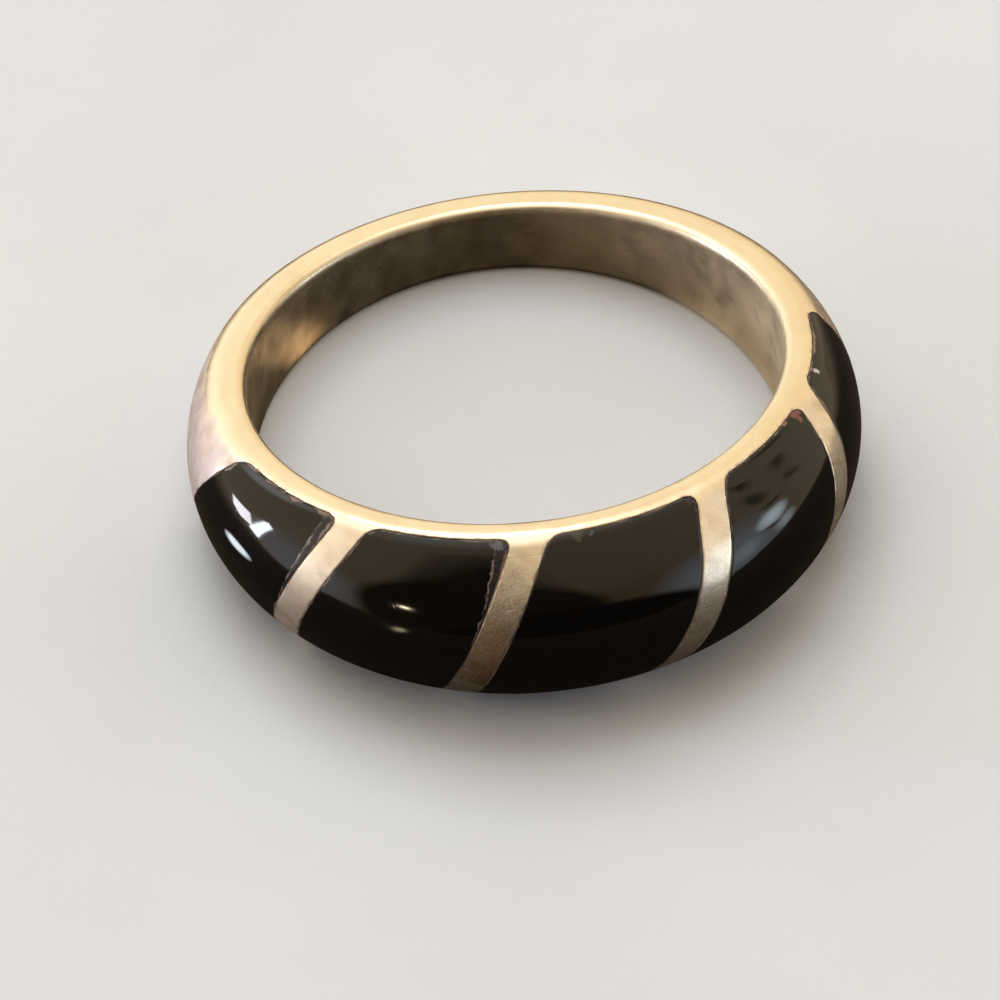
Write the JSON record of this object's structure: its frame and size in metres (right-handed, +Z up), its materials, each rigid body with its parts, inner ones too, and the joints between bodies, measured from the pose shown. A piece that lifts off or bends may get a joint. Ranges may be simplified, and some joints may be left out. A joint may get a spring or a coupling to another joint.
{
  "type": "onyx band ring",
  "caption": "Tapered silver finger ring lying on its side, its domed front inlaid with black onyx panels between slanted silver bars.",
  "frame": {"origin": "where the axis of the finger hole meets the surface that the ring lies on", "axes": "+Z up from the surface, the inlaid front (widest and thickest) toward -Y, +X to its right"},
  "size_m": [0.0216, 0.0216, 0.0067],
  "materials": {
    "silver": "polished silver worn to a soft shine, warm in tone, with fine scratches",
    "onyx": "gloss polished black"
  },
  "bodies": {
    "root": {"band": "silver", "onyx_1": "onyx", "onyx_2": "onyx", "onyx_3": "onyx", "onyx_4": "onyx", "onyx_5": "onyx"}
  },
  "joints": []
}
